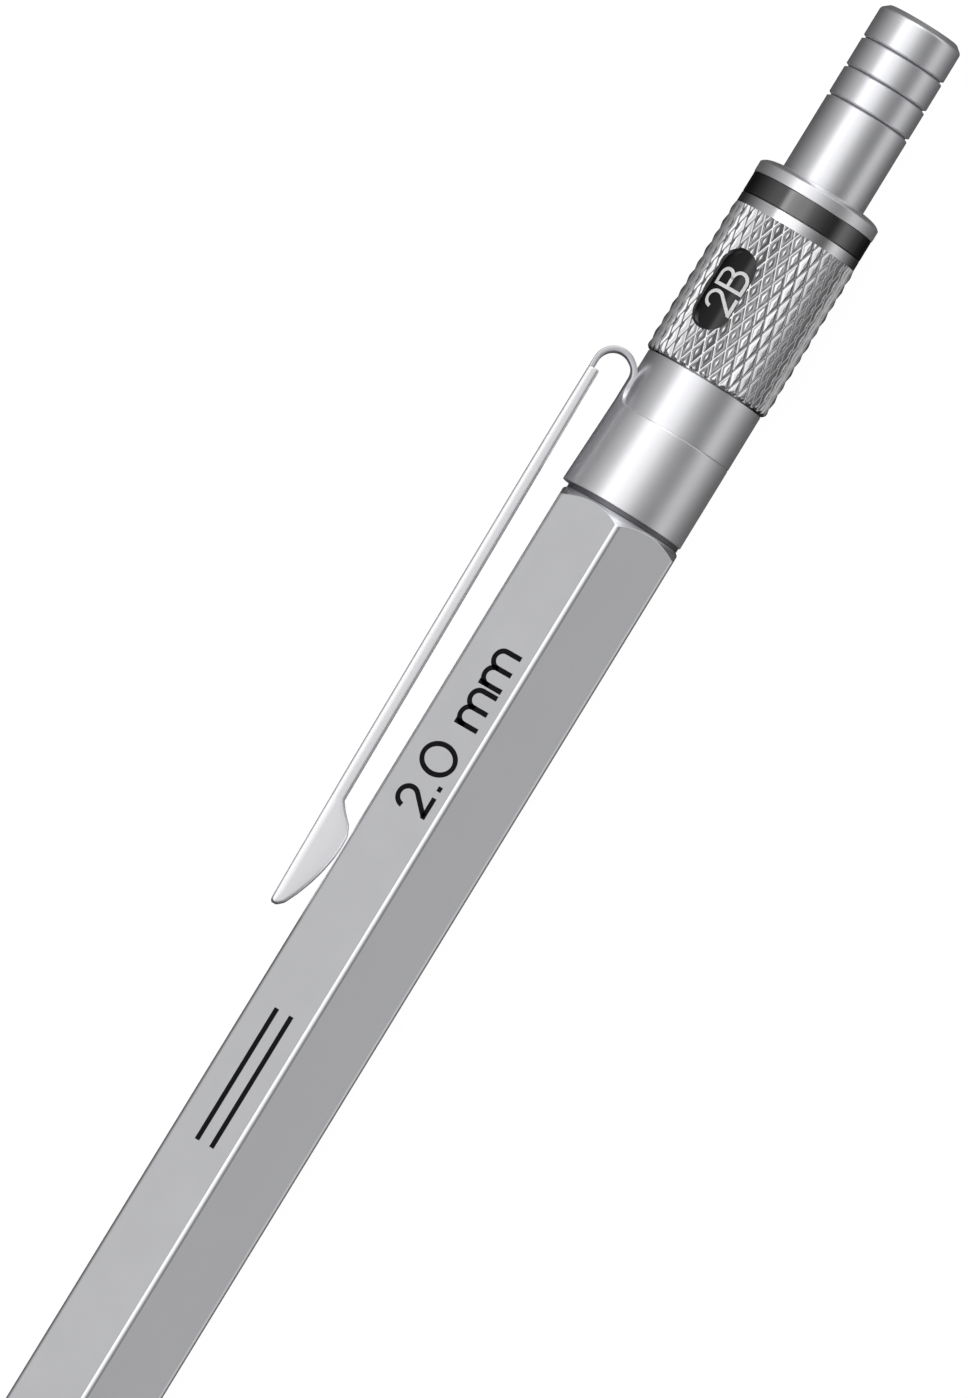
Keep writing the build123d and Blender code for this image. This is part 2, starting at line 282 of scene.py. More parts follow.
def rubbery(name, tone, rough=0.75, scale=2500):
    mat, nt, bsdf, obj = new_material(name)
    cloud = noise(nt, obj, scale / 4, 4)
    nt.links.new(ramp(nt, cloud, [(0.3, tuple(c * 0.85 for c in tone)), (0.7, tuple(min(1, c * 1.1) for c in tone))]), bsdf.inputs["Base Color"])
    nt.links.new(map_range(nt, noise(nt, obj, scale, 3), 0.3, 0.7, rough - 0.06, rough + 0.06), bsdf.inputs["Roughness"])
    nt.links.new(bump(nt, noise(nt, obj, scale * 2, 3), 0.4, 0.00003), bsdf.inputs["Normal"])
    return mat


SILVER = (0.885, 0.888, 0.915)
M_barrel = satin_metal("barrel_silver", SILVER, rough=0.22, spread=0.012, grain=0.10)
M_turned = satin_metal("turned_silver", SILVER, rough=0.33, spread=0.012, turned=0.08)
# painted shade: the knurled finish darkens its base colour on the groove walls
M_knurl = satin_metal("knurled_silver", (0.90, 0.90, 0.92), rough=0.17, spread=0.03, grain=0.05, metallic=1.0, painted_flank_shade=0.28)
M_clip = satin_metal("clip_steel", (0.90, 0.90, 0.925), rough=0.35, spread=0.012, turned=0.05)
# a darker copy of the clip steel: painted shade for the clip's bend
M_bend_painted_shade = satin_metal("clip_bend_painted_shade", (0.66, 0.66, 0.69), rough=0.42, spread=0.03, grain=0.10)
# dark painted shade for the recess under the band and the bottoms of the cap's grooves
M_painted_shade_recess = satin_metal("recess_painted_shade", (0.20, 0.20, 0.215), rough=0.45, spread=0.10, grain=0.10)
M_sleeve = satin_metal("sleeve_steel", (0.80, 0.80, 0.82), rough=0.14, spread=0.02, turned=0.15)
M_wire = satin_metal("spring_wire", (0.62, 0.62, 0.64), rough=0.25, spread=0.05, grain=0.2)
M_brass = satin_metal("machined_brass", (0.80, 0.60, 0.29), rough=0.24, spread=0.05, turned=0.35, tarnish=0.05)
M_black = gloss_black("gloss_black_ring")
M_drum = gloss_black("gloss_black_drum", tone=0.002, rough=0.07, ior=1.5)
M_rubber = rubbery("black_rubber", (0.03, 0.03, 0.032))
M_eraser = rubbery("white_eraser", (0.86, 0.85, 0.82), rough=0.85)
M_white = rubbery("white_print", (0.92, 0.92, 0.92), rough=0.5, scale=9000)
M_ink = rubbery("black_print", (0.006, 0.006, 0.008), rough=0.6, scale=9000)
M_ink.node_tree.nodes["Principled BSDF"].inputs["Specular IOR Level"].default_value = 0.12


def graphite():
    mat, nt, bsdf, obj = new_material("graphite")
    streak = noise(nt, obj, 1, 4, stretch=(300, 4000, 4000))
    nt.links.new(ramp(nt, streak, [(0.3, (0.028, 0.028, 0.031)), (0.7, (0.075, 0.075, 0.082))]), bsdf.inputs["Base Color"])
    bsdf.inputs["Metallic"].default_value = 0.55
    nt.links.new(map_range(nt, noise(nt, obj, 3000, 3), 0.3, 0.7, 0.34, 0.5), bsdf.inputs["Roughness"])
    nt.links.new(bump(nt, noise(nt, obj, 6000, 3), 0.3, 0.00001), bsdf.inputs["Normal"])
    return mat


M_lead = graphite()

# ------------------------------------------------------------------ inner CAD nodes keep their shape and get real finishes
for nodes, mat in (
    (("jaw_1", "jaw_2", "jaw_3", "chuck_base", "clutch_ring", "mechanism_sleeve", "tube_connector", "lead_tube",
      "front_insert", "eraser_holder"), M_brass),
    (("return_spring",), M_wire),
    (("lead_retainer", "friction_ring"), M_rubber),
):
    for n in nodes:
        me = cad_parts[n].data
        me.materials.clear()
        me.materials.append(mat)


def finish_piece(ob, body, node):
    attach(ob, body)
    nodes = (node,) if isinstance(node, str) else tuple(node)
    if nodes:
        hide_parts(*nodes)
    return ob


# ------------------------------------------------------------------ lead, sleeve, nose
SLEEVE_U0, NOSE_U0, NOSE_RIM_U, GRIP_U0 = u_of("lead_sleeve", 0), u_of("nose_cone", 0), 17.0, u_of("front_grip", 0)
LEAD_END = u_of("lead", 1)
lead = lathe_solid("graphite_lead", [(0, 0), (0.0, 0.18, 0.12), (3.2, 1.0, 0.15), (LEAD_END, 1.0, 0.04), (LEAD_END, 0)][::-1],
                   M_lead, seg=96)
finish_piece(lead, "lead_rod", "lead")

sleeve = lathe("guide_sleeve", [
    (SLEEVE_U0, 1.06, 0.04), (10.0, 1.06, 0.03), (10.0, 1.65, 0.03), (NOSE_U0 + 0.02, 1.65, 0.02),
    (NOSE_U0 + 0.02, 1.45, 0.02), (SLEEVE_U0 + 0.10, 1.45, 0.08), (SLEEVE_U0, 1.35, 0.05)], M_sleeve, seg=128)
finish_piece(sleeve, "barrel", "lead_sleeve")

nose = lathe("nose_cone_turned", [
    (NOSE_U0, 1.66, 0.02), (10.0, 1.66, 0.02), (10.0, 2.0, 0.02), (12.6, 2.0, 0.05), (12.6, 2.65, 0.05), (16.8, 2.65, 0.03),
    (16.8, 2.85, 0.03), (24.0, 2.85, 0.05), (24.0, 3.15, 0.05), (23.7, 3.38, 0.05), (18.9, 3.38, 0.03), (18.6, 3.10, 0.03),
    (GRIP_U0, 3.10, 0.03), (GRIP_U0, 3.95, 0.04), (17.0, 3.95, 0.05), (16.86, 3.80, 0.05), (16.6, 3.72, 0.05),
    (5.75, 2.08, 0.12), (NOSE_U0, 1.90, 0.10)], M_turned, seg=224)
finish_piece(nose, "barrel", "nose_cone")

# ------------------------------------------------------------------ knurled pieces
KNURL_N, KNURL_P, KNURL_R, KNURL_D = 36, 1.94, 4.19, 0.19


def knurl_height(theta, u, phase):
    """0 at the crest, 1 at the bottom of the grooves, on two crossing families of narrow grooves: pillowed points. Also
    each point's weight of painted shade on the groove walls.
    """
    a = KNURL_N * theta / (2 * math.pi)
    p1, p2 = a + (u - phase) / KNURL_P, a - (u - phase) / KNURL_P
    d1, d2 = np.abs((p1 + 0.5) % 1 - 0.5) * 2, np.abs((p2 + 0.5) % 1 - 0.5) * 2   # 0 on a groove line, 1 midway
    h = np.minimum(d1, d2)
    return np.interp(h, KNURL_H, KNURL_V), np.interp(h, KNURL_H, PAINTED_SHADE_V)


KNURL_H, KNURL_V = [0, 0.125, 0.50, 0.80, 1.0], [1.0, 0.965, 0.42, 0.12, 0.0]
# weights of the painted shade on the knurl's groove walls, over the same h as the height
PAINTED_SHADE_V = [0.0, 1.0, 1.0, 0.4, 0.0]


def knurled(name, u0, u1, cham0, cham1, tail, bore, material, phase=0.0, n=8, theta0=0.0):
    """A knurled ring between u0 and u1, its smooth tail outline after the crest at u1, and its bore."""
    cols = KNURL_N * 2 * n
    th = np.arange(cols) * 2 * math.pi / cols + theta0
    du = KNURL_P / (2 * n)
    rows_u = np.arange(math.ceil((u0 - phase) / du), math.floor((u1 - phase) / du) + 1) * du + phase
    rows_u = rows_u[(rows_u > u0 + 0.3 * du) & (rows_u < u1 - 0.3 * du)]
    rows_u = np.concatenate([[u0], rows_u, [u1]])
    T, U = np.meshgrid(th - theta0, rows_u)
    depth, painted_flank_shade = knurl_height(T, U, phase)
    Rr = KNURL_R - KNURL_D * depth
    if cham0:
        Rr = np.minimum(Rr, KNURL_R - cham0 + (U - u0))
    if cham1:
        Rr = np.minimum(Rr, KNURL_R - cham1 + (u1 - U))
    rings_u = [U[i] for i in range(len(rows_u))]
    rings_r = [Rr[i] for i in range(len(rows_u))]
    for (tu, tr) in tail:
        rings_u.append(np.full(cols, tu)); rings_r.append(np.full(cols, tr))
    for (tu, tr) in ((tail[-1][0] if tail else u1, bore), (u0, bore)):
        rings_u.append(np.full(cols, tu)); rings_r.append(np.full(cols, tr))
    Ru, RR = np.array(rings_u), np.array(rings_r)
    k = len(Ru)
    verts = place(Ru.ravel(), (RR * np.cos(th)[None]).ravel(), (RR * np.sin(th)[None]).ravel())
    idx = np.arange(k * cols).reshape(k, cols)
    faces = []
    knurl_rows = len(rows_u)
    for i in range(k):
        j = (i + 1) % k
        for s in range(cols):
            t = (s + 1) % cols
            a, b, c, d = idx[i, s], idx[i, t], idx[j, t], idx[j, s]
            if i < knurl_rows - 1:
                # split each cell along the groove or crest that crosses it
                if abs(RR[i, s] - RR[j, t]) <= abs(RR[i, t] - RR[j, s]):
                    faces += [(a, b, c), (a, c, d)]
                else:
                    faces += [(a, b, d), (b, c, d)]
            else:
                faces.append((a, b, c, d))
    ob = make_object(name, verts, faces, material)
    ob.data.set_sharp_from_angle(angle=math.radians(38))
    # each point's weight of the painted shade on the groove walls
    at = ob.data.attributes.new("painted_flank_shade", "FLOAT", "POINT")
    at.data.foreach_set("value", np.concatenate([painted_flank_shade.ravel(), np.zeros(len(verts) - painted_flank_shade.size)]).astype(np.float32))
    return ob


W0, W1 = u_of("window_sleeve", 0), u_of("window_sleeve", 1)
KN1 = 131.12
window_sleeve = knurled("knurled_window_sleeve", W0, KN1, 0.2, 0.0,
                        [(KN1 + 0.004, 4.10), (W1 - 0.03, 4.10), (W1, 4.07)], 3.70, M_knurl, phase=W0 + 0.152, n=8,
                        theta0=math.radians(WINDOW_DEG))

WIN_U, WIN_L, WIN_W = 125.98, 5.46, 2.6


def stadium_cutter(u, length, width, r0, r1):
    bm = bmesh.new()
    pts = []
    for k in range(33):
        a = -math.pi / 2 + math.pi * k / 32
        pts.append((u + length / 2 - width / 2 + width / 2 * math.cos(a), width / 2 * math.sin(a)))
    for k in range(33):
        a = math.pi / 2 + math.pi * k / 32
        pts.append((u - length / 2 + width / 2 + width / 2 * math.cos(a), width / 2 * math.sin(a)))
    w = math.radians(WINDOW_DEG)
    n = np.array([math.cos(w), math.sin(w)]); t = np.array([-math.sin(w), math.cos(w)])
    low = [bm.verts.new(place(p[0], r0 * n[0] + p[1] * t[0], r0 * n[1] + p[1] * t[1])) for p in pts]
    top = [bm.verts.new(place(p[0], r1 * n[0] + p[1] * t[0], r1 * n[1] + p[1] * t[1])) for p in pts]
    bm.faces.new(low[::-1]); bm.faces.new(top)
    m = len(pts)
    for i in range(m):
        bm.faces.new((low[i], low[(i + 1) % m], top[(i + 1) % m], top[i]))
    bmesh.ops.recalc_face_normals(bm, faces=bm.faces)
    me = bpy.data.meshes.new("cutter"); bm.to_mesh(me); bm.free()
    ob = bpy.data.objects.new("cutter", me)
    bpy.context.scene.collection.objects.link(ob)
    return ob


def apply_modifiers(ob):
    dg = bpy.context.evaluated_depsgraph_get()
    me = bpy.data.meshes.new_from_object(ob.evaluated_get(dg))
    old = ob.data
    ob.modifiers.clear()
    ob.data = me
    bpy.data.meshes.remove(old)


cutter = stadium_cutter(WIN_U, WIN_L, WIN_W, 2.4, 5.2)
mod = window_sleeve.modifiers.new("window", "BOOLEAN")
mod.operation, mod.object, mod.solver = "DIFFERENCE", cutter, "EXACT"
apply_modifiers(window_sleeve)
bpy.data.objects.remove(cutter)
window_sleeve.data.set_sharp_from_angle(angle=math.radians(38))
finish_piece(window_sleeve, "indicator", "window_sleeve")

G0, G1 = GRIP_U0, u_of("front_grip", 1)
grip = knurled("knurled_front_grip", G0, 40.6, 0.24, 0.0,
               [(40.604, 3.98), (41.2, 3.98), (41.4, 4.10), (42.9, 4.10), (43.1, 3.98), (43.4, 3.98), (43.5, 4.05),
                (43.86, 4.05), (G1, 3.93)], 3.42, M_knurl, phase=G0 + 0.3, n=6, theta0=math.radians(90))
finish_piece(grip, "barrel", "front_grip")

# ------------------------------------------------------------------ hexagonal barrel
HEX_AF, HEX_RND = 8.0, 0.40


def hexagon_section():
    """Angle-ordered section points and normals: flats with fine columns, rounded corners."""
    apothem = HEX_AF / 2
    corner = apothem / math.cos(math.pi / 6)
    inner = corner - HEX_RND / math.cos(math.pi / 6)
    pts, nor = [], []
    half_flat = apothem * math.tan(math.pi / 6) - HEX_RND * math.tan(math.pi / 6)
    for k in range(6):
        a = math.radians(60 * k)                      # corner direction
        c = np.array([math.cos(a), math.sin(a)]) * inner
        for j in range(15):                           # corner arc, -30..+30 degrees about the corner direction
            b = a + math.radians(-30 + 60 * j / 14)
            n = np.array([math.cos(b), math.sin(b)])
            pts.append(c + n * HEX_RND); nor.append(n)
        f = math.radians(60 * k + 30)                 # next flat
        n = np.array([math.cos(f), math.sin(f)]); t = np.array([-math.sin(f), math.cos(f)])
        for s in np.linspace(-half_flat, half_flat, 26)[1:-1]:
            pts.append(n * apothem + t * s); nor.append(n)
    return np.array(pts), np.array(nor)


def hex_barrel():
    sec, nrm = hexagon_section()
    m = len(sec)
    rad = np.linalg.norm(sec, axis=1)
    er, slope = 3.84, 0.90 / 0.96                    # end radius, axial length per radial rise of the turned chamfer
    bore = 3.30
    dirs = sec / rad[:, None]
    rings, norms = [], []

    def ring(u, xy, n_u, n_xy):
        rings.append(place(np.broadcast_to(u, (m,)), xy[:, 0], xy[:, 1]))
        v = np.stack([np.broadcast_to(n_u, (m,)), n_xy[:, 0], n_xy[:, 1]], -1)
        norms.append(v / np.linalg.norm(v, axis=1)[:, None])

    b = 0.035                                        # softening of the turned edges
    for side in (0, 1):
        U = BARREL_U0 if side == 0 else BARREL_U1
        sg = 1 if side == 0 else -1                  # direction into the barrel
        cross = U + sg * (rad - er) * slope          # where the cone meets the hexagon
        cone_n = (-sg * 1.0, slope)                  # axial, radial
        seq = []
        seq.append((U, dirs * bore, 0.0 * dirs[:, 0], -dirs))
        seq.append((U, dirs * (bore + 0.03), np.full(m, -sg), 0 * dirs))
        seq.append((U, dirs * (er - b), np.full(m, -sg), 0 * dirs))
        seq.append((U + sg * b * slope, dirs * (er + b), np.full(m, cone_n[0]), dirs * cone_n[1]))
        for share in (0.5,):
            rr = er + b + (rad - b - er - b) * share
            seq.append((U + sg * (rr - er) * slope, dirs * rr[:, None], np.full(m, cone_n[0]), dirs * cone_n[1]))
        rr = rad - b
        seq.append((U + sg * (rr - er) * slope, dirs * rr[:, None], np.full(m, cone_n[0]), dirs * cone_n[1]))
        seq.append((cross + sg * b, sec, np.zeros(m), nrm))
        if side == 0:
            for q in seq:
                ring(*q)
            for s in np.linspace(0, 1, 9)[1:-1]:
                ring(BARREL_U0 + 1.2 + (BARREL_U1 - BARREL_U0 - 2.4) * s, sec, np.zeros(m), nrm)
        else:
            for q in seq[::-1]:
                ring(*q)
    k = len(rings)
    verts, normals = np.concatenate(rings), np.concatenate(norms)
    idx = np.arange(k * m).reshape(k, m)
    faces = []
    for i in range(k):
        j = (i + 1) % k
        for s in range(m):
            t = (s + 1) % m
            faces.append((idx[i, s], idx[i, t], idx[j, t], idx[j, s]))
    return make_object("hexagonal_barrel", verts, faces, M_barrel, normals)


barrel = finish_piece(hex_barrel(), "barrel", "hex_barrel")

# ------------------------------------------------------------------ rear cylinder under the clip and the drum's core
R_END = u_of("rear_insert", 1)
rear = lathe("rear_cylinder", [
    (100.0, 2.1), (122.9, 2.1), (122.9, 2.37), (123.4, 2.87), (R_END, 2.87), (R_END, 3.12), (130.9, 3.12), (130.9, 3.30),
    (122.35, 3.30), (122.35, 3.08), (121.6, 3.08), (121.6, 3.30), (120.72, 3.30), (120.72, 3.93, 0.05), (116.97, 3.93, 0.02),
    (116.97, 3.60), (111.43, 3.60), (111.43, 3.84, 0.02), (BARREL_U1 + 0.01, 3.84, 0.03), (BARREL_U1 + 0.01, 3.30),
    (100.2, 3.29), (100.0, 3.1)], M_turned, seg=256)
finish_piece(rear, "barrel", "rear_insert")
rear.data.materials.append(M_painted_shade_recess)
for face in rear.data.polygons:                     # the narrow recess under the band gets a dark painted shade
    c = face.center
    u = c.x * 1000 - X_LEAD
    if BARREL_U1 < u < 111.44 and math.hypot(c.y * 1000 - AXIS_Y, c.z * 1000 - AXIS_Z) > 3.7:
        face.material_index = 1

# ------------------------------------------------------------------ drum, rings, collar, cap
D0, D1 = u_of("grade_drum", 0), u_of("grade_drum", 1)
drum = lathe("indicator_drum", [(D0, 3.30), (D1, 3.30), (D1, 3.67, 0.05), (D0, 3.67, 0.05)], M_drum, seg=256)
finish_piece(drum, "barrel", "grade_drum")

B0, B1 = u_of("black_ring", 0), u_of("black_ring", 1)
ring = lathe("black_spacer_ring", [(B0, 3.5), (B1, 3.5), (B1, 4.10, 0.06), (B0, 4.10, 0.06)], M_black, seg=256)
finish_piece(ring, "barrel", "black_ring")

C1 = u_of("top_collar", 1)
dome = []
for k in range(9):
    t = k / 8
    # quadratic through the collar's rim, shoulder and mouth
    p0, p1, p2 = np.array([133.93, 4.136]), np.array([134.30, 3.86]), np.array([C1, 2.90])
    q = (1 - t) ** 2 * p0 + 2 * t * (1 - t) * p1 + t * t * p2
    dome.append((q[0], q[1], 0.05 if k in (0, 8) else 0.3))
collar = lathe("domed_collar", [(131.5, 3.12), (133.2, 3.12), (133.2, 2.87), (C1, 2.87, 0.02)] + dome[::-1]
               + [(B1, 4.136, 0.05), (B1, 3.5), (131.5, 3.5)], M_turned, seg=256)
finish_piece(collar, "barrel", "top_collar")

CAP0 = u_of("push_cap", 0)
outer = [(LENGTH, 2.34, 0.16), (LENGTH - 0.38, 2.80, 0.30)]
for g in (143.55, 141.55, 139.55):
    outer += [(g + 0.13, 2.80, 0.03), (g + 0.03, 2.61, 0.015), (g - 0.03, 2.61, 0.015), (g - 0.13, 2.80, 0.03)]
outer += [(CAP0 + 0.12, 2.80, 0.05), (CAP0, 2.68, 0.05)]
pts = [(CAP0, 2.43), (143.6, 2.43, 0.1), (143.6, 1e-9, 1e-6), (LENGTH, 1e-9, 1e-6)] + outer
cap = lathe("push_cap_grooved", pts, M_turned, seg=256)
finish_piece(cap, "cap", "push_cap")
cap.data.materials.append(M_painted_shade_recess)
for face in cap.data.polygons:                      # the bottoms of the three grooves get a dark painted shade
    c = face.center
    if 2.5 < math.hypot(c.y * 1000 - AXIS_Y, c.z * 1000 - AXIS_Z) < 2.70 and 139 < c.x * 1000 - X_LEAD < 144:
        face.material_index = 1

E0, E1 = u_of("eraser", 0), u_of("eraser", 1)
eraser = lathe("cap_eraser", [(E1, 1e-9, 1e-6), (E1, 1.95, 0.35), (E0, 1.95, 0.05), (E0, 1e-9, 1e-6)], M_eraser, seg=96)
finish_piece(eraser, "plunger", "eraser")

# ------------------------------------------------------------------ clip: one bent strip, from the band round the bend to the leaf
BAND_U0, BAND_U1 = 111.43, 116.97
NECK_W, FLARE_R = 1.2, 1.25
BEND_U, BEND_RHO, BEND_R, STRIP = 118.60, 5.14, 1.20, 0.34
ARM_TOP = [(80.62, 5.98), (80.72, 6.04), (80.85, 6.08), (84.0, 6.15), (90.1, 6.27), (100.0, 6.39), (110.5, 6.495), (114.0, 6.51),
           (118.6, 6.51)]
ARM_LOW = [(80.62, 5.62), (80.98, 5.24), (81.88, 4.83), (82.91, 4.48), (83.81, 4.25), (84.83, 4.08), (85.55, 4.045),
           (86.21, 4.06), (86.60, 4.22), (86.95, 4.42), (87.11, 4.60), (87.47, 4.95), (88.0, 5.36), (90.1, 5.39),
           (110.5, 5.68), (117.4, 5.79)]


def smooth_curve(points, ks=0.18):
    """A soft interpolation through the points: linear, then averaged over a short window."""
    xs, ys = np.array(points).T
    fine = np.linspace(xs[0], xs[-1], 4000)
    raw = np.interp(fine, xs, ys)
    w = max(1, int(ks / (fine[1] - fine[0])))
    pad = np.concatenate([2 * raw[0] - raw[1:w + 1][::-1], raw, 2 * raw[-1] - raw[-w - 1:-1][::-1]])
    kern = np.ones(2 * w + 1) / (2 * w + 1)
    soft = np.convolve(pad, kern, "valid")
    return lambda u: np.interp(u, fine, soft)


arm_low = smooth_curve(ARM_LOW, 0.07)
arm_top = smooth_curve(ARM_TOP, 0.05)
cA = math.radians(CLIP_DEG)
cN, cT = np.array([math.cos(cA), math.sin(cA)]), np.array([-math.sin(cA), math.cos(cA)])


def clip_place(u, rho, w):
    u, rho, w = (np.asarray(v, float) for v in (u, rho, w))
    return place(u, rho * cN[0] + w * cT[0], rho * cN[1] + w * cT[1])


def strip_section(hw, depth, inner, top_w, top_n, low_w, low_n):
    """Half-section points (w, n) of a channel: n = 0 is the outer face, walls go down to -depth, the inner web is at -inner.
    The upper edge is a quarter ellipse top_w wide and top_n deep, and the lower outer edge is low_w by low_n."""
    wall = min(STRIP, hw * 0.45)
    top_n = min(top_n, depth * 0.45)
    low_n = min(low_n, depth * 0.45)
    low_w = min(low_w, wall * 0.8)
    out = [(f * (hw - top_w), 0.0) for f in (0, 0.35, 0.7)]
    for j in range(15):
        a = math.pi / 2 * (1 - j / 14)
        out.append((hw - top_w + top_w * math.cos(a), -top_n + top_n * math.sin(a)))
    out.append((hw, -(top_n + depth - low_n) / 2))
    for j in range(9):
        a = math.pi / 2 * j / 8
        out.append((hw - low_w + low_w * math.cos(a), -depth + low_n - low_n * math.sin(a)))
    lip = min(0.04, max(0.003, (depth - inner) / 2.4), (wall - low_w) * 0.6)
    for j in range(4):
        a = math.pi / 2 * j / 3
        out.append((hw - wall + lip - lip * math.sin(a), -depth + lip - lip * math.cos(a)))
    ri = min(0.08, max(0.003, (depth - inner) / 2.5))
    out.append((hw - wall, -inner - ri))
    out.append((hw - wall - ri * 0.3, -inner - ri * 0.3))
    out.append((hw - wall - ri, -inner))
    out += [((hw - wall - ri) * f, -inner) for f in (0.5, 0)]
    return out


def clip_mesh():
    stations = []                                   # (P, N, half-section, curvature)
    us = [80.62, 80.63, 80.66, 80.70, 80.76, 80.84, 80.92, 81.0, 81.1, 81.25, 81.4, 81.6, 81.8, 82.0]
    us += list(np.arange(82.1, 86.0, 0.16)) + list(np.arange(86.0, 88.4, 0.06)) + list(np.arange(88.6, 117.0, 0.9)) + [117.0, 117.5]
    us += [117.86, 117.93, 117.97, 117.99, 118.0]
    for u in us:
        top, low = float(arm_top(u)), float(arm_low(min(u, 117.4)))
        ease = math.sqrt(max(0.0, 1 - (1 - min(1.0, (u - 80.62 + 0.004) / 0.14)) ** 2))
        end = math.sqrt(max(0.0, 1 - max(0.0, (u - 117.90) / 0.10) ** 2))
        top -= 0.06 * (1 - ease)
        low += 0.07 * (1 - ease) + 0.09 * (1 - end)
        hw = 1.40 - 0.10 * (1 - ease) - 0.08 * (1 - end)
        depth = top - low
        solid, open_ = depth - 0.012, STRIP
        k = min(1, max(0, (u - 81.6) / 0.5))
        inner = solid + (open_ - solid) * k
        stations.append(((u, top), (0, 1), strip_section(hw, depth, inner, 0.16, 0.50, 0.13, 0.20), 0.0))
    ARM_RINGS = len(stations)
    for u in (118.004, 118.1, 118.35):
        stations.append(((u, 6.51), (0, 1), strip_section(NECK_W, STRIP + 0.012, STRIP, 0.07, 0.13, 0.07, 0.13), 0.0))
    for a in range(0, 181, 6):
        r = math.radians(a)
        k = max(0.0, (a - 130) / 50)
        P = (BEND_U + (BEND_R + STRIP / 2) * math.sin(r), BEND_RHO + (BEND_R + STRIP / 2) * math.cos(r))
        stations.append((P, (math.sin(r), math.cos(r)), strip_section(NECK_W, STRIP + 0.012, STRIP, 0.07, 0.13, 0.07, 0.13), k))
    for u in (118.3, 118.0, 117.6, 117.2, 116.8, 116.4):
        stations.append(((u, BEND_RHO - BEND_R - STRIP / 2), (0, -1), strip_section(NECK_W, STRIP + 0.012, STRIP, 0.07, 0.13, 0.07, 0.13), 1.0))
    rings = []
    for (pu, pr), (nu, nr), half, k in stations:
        full = half + [(-w, n) for w, n in half[-2:0:-1]]
        w = np.array([p[0] for p in full]); n = np.array([p[1] for p in full])
        n = n + k * w * w / (2 * 4.05)
        rings.append(clip_place(pu + nu * n, pr + nr * n, w))
    m = len(rings[0])
    verts = np.concatenate(rings)
    faces = []
    for i in range(len(rings) - 1):
        for s in range(m):
            t = (s + 1) % m
            faces.append((i * m + s, i * m + t, (i + 1) * m + t, (i + 1) * m + s))
    faces.append(tuple(range(m))[::-1])
    base = (len(rings) - 1) * m
    faces.append(tuple(base + s for s in range(m)))
    strip_v, strip_f = verts, faces

    # the band
    flare = []
    for j in range(15):
        a = math.pi / 2 * j / 14
        flare.append((NECK_W + FLARE_R * (1 - math.sin(a)), BAND_U1 + FLARE_R * (1 - math.cos(a))))
    cols = [(0.0, BAND_U1 + FLARE_R)] + [(math.degrees(math.asin(x / 4.02)), BAND_U1 + FLARE_R) for x in (0.4, 0.8, 1.1)]
    cols += [(math.degrees(math.asin(w / 4.02)), u) for w, u in flare[::-1]]
    cols += [(d, BAND_U1) for d in np.linspace(cols[-1][0], 180, 80)[1:]]
    cols = cols + [(-d, u) for d, u in cols[-2:0:-1]]
    rnd = 0.12
    grid = []
    for d, u1 in cols:
        f = math.radians(d)

        def r_out(u):
            e = 0.185 - 0.125 * (u - BAND_U0) / 7.44
            R = 4.115 - 0.125 * (u - BAND_U0) / 7.44
            return e * math.cos(f) + math.sqrt(R * R - (e * math.sin(f)) ** 2)

        low_r = max(3.86, r_out(BAND_U0) - 0.05)
        line = [(BAND_U0, 3.62), (BAND_U0, low_r)]
        for j in range(1, 7):
            a = math.pi / 2 * j / 6
            line.append((BAND_U0 + 0.05 * (1 - math.cos(a)), low_r + (r_out(BAND_U0) - low_r) * math.sin(a)))
        for j in range(1, 8):
            u = BAND_U0 + 0.05 + (u1 - rnd - BAND_U0 - 0.05) * j / 8
            line.append((u, r_out(u)))
        for j in range(5):
            a = math.pi / 2 * j / 4
            line.append((u1 - rnd + rnd * math.sin(a), r_out(u1) - rnd + rnd * math.cos(a)))
        line.append((u1, 3.62))
        grid.append([(u, r, f) for u, r in line])
    k, c = len(grid[0]), len(cols)
    band_v = []
    for col in grid:
        for u, r, f in col:
            band_v.append(clip_place(u, r * math.cos(f), r * math.sin(f)))
    band_f = []
    for j in range(c):
        q = (j + 1) % c
        for i in range(k):
            t = (i + 1) % k
            band_f.append((j * k + i, j * k + t, q * k + t, q * k + i))
    off = len(strip_v)
    ob = make_object("pocket_clip", np.concatenate([strip_v, np.array(band_v)]), strip_f + [tuple(off + i for i in f) for f in band_f],
                     M_clip)
    ob.data.materials.append(M_bend_painted_shade)               # the bent neck, bend and tail get a darker copy of the clip steel: painted shade
    bent = set(range(ARM_RINGS * m, off))
    for face in ob.data.polygons:
        if all(v in bent for v in face.vertices):
            face.material_index = 1
    bm = bmesh.new(); bm.from_mesh(ob.data)
    bmesh.ops.recalc_face_normals(bm, faces=bm.faces)
    bm.to_mesh(ob.data); bm.free()
    ob.data.shade_smooth()
    ob.data.set_sharp_from_angle(angle=math.radians(40))
    return ob


clip = clip_mesh()
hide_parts("clip_band", "clip_arm")
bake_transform(clip)

